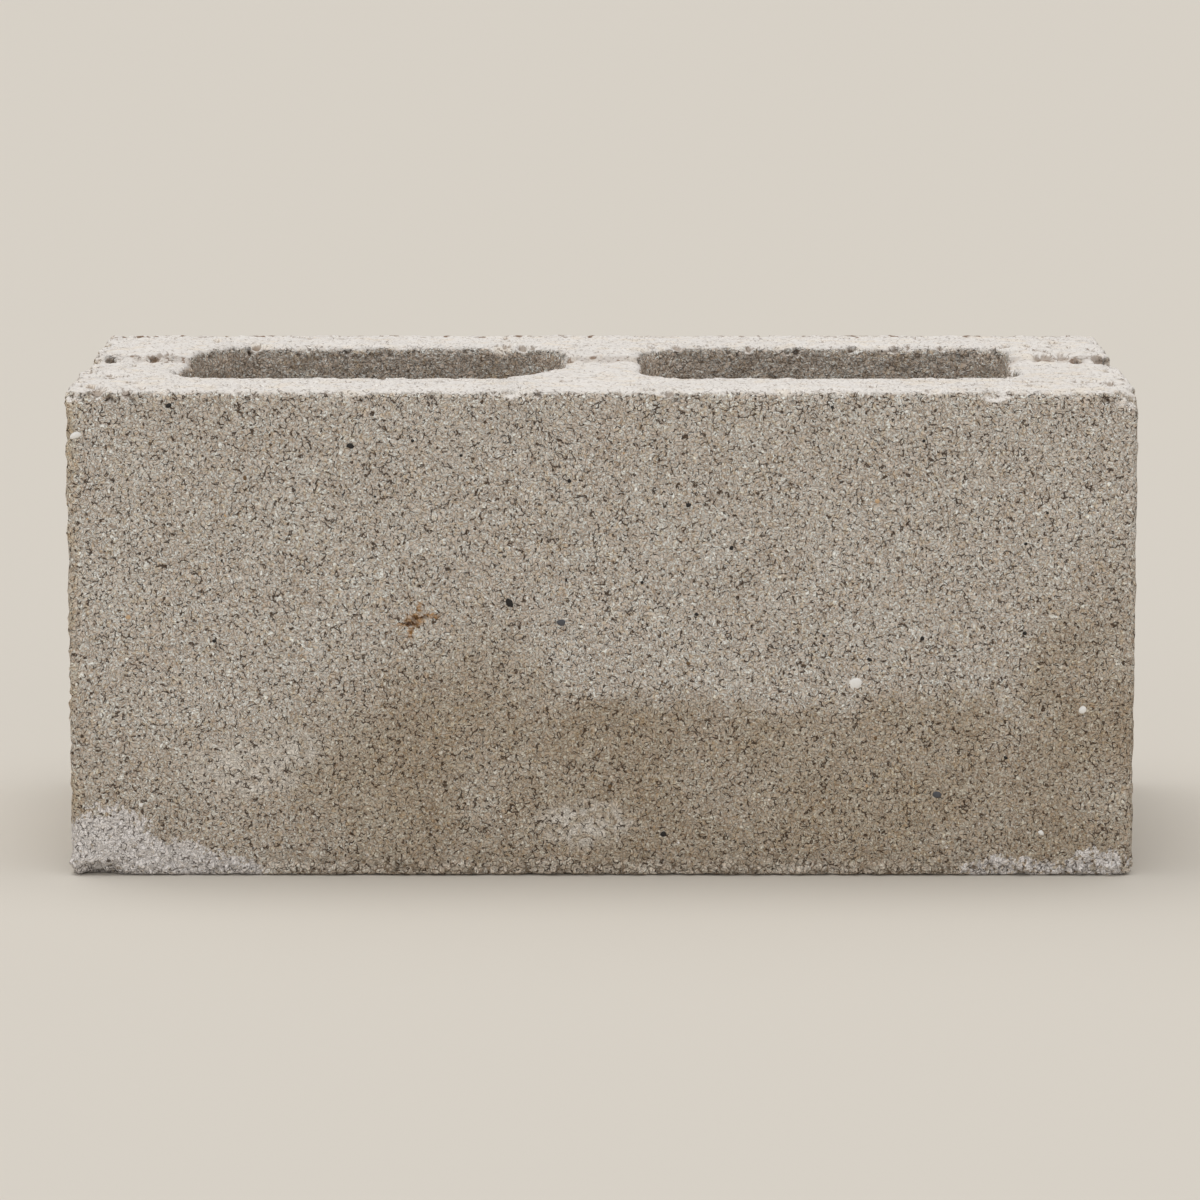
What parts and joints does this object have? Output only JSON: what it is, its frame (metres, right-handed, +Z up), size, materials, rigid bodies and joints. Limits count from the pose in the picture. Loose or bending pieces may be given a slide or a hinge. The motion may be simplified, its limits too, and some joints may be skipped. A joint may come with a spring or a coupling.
{
  "type": "concrete block",
  "caption": "Hollow concrete masonry block with two open cores and flat ends, standing on its bed.",
  "frame": {"origin": "middle of the block's footprint, on the surface that it stands on", "axes": "+X along the wall, +Y through the wall from the seen face to the far face, +Z up"},
  "size_m": [0.397, 0.194, 0.183],
  "materials": {
    "concrete": "matte"
  },
  "bodies": {
    "root": {"block": "concrete"}
  },
  "joints": []
}
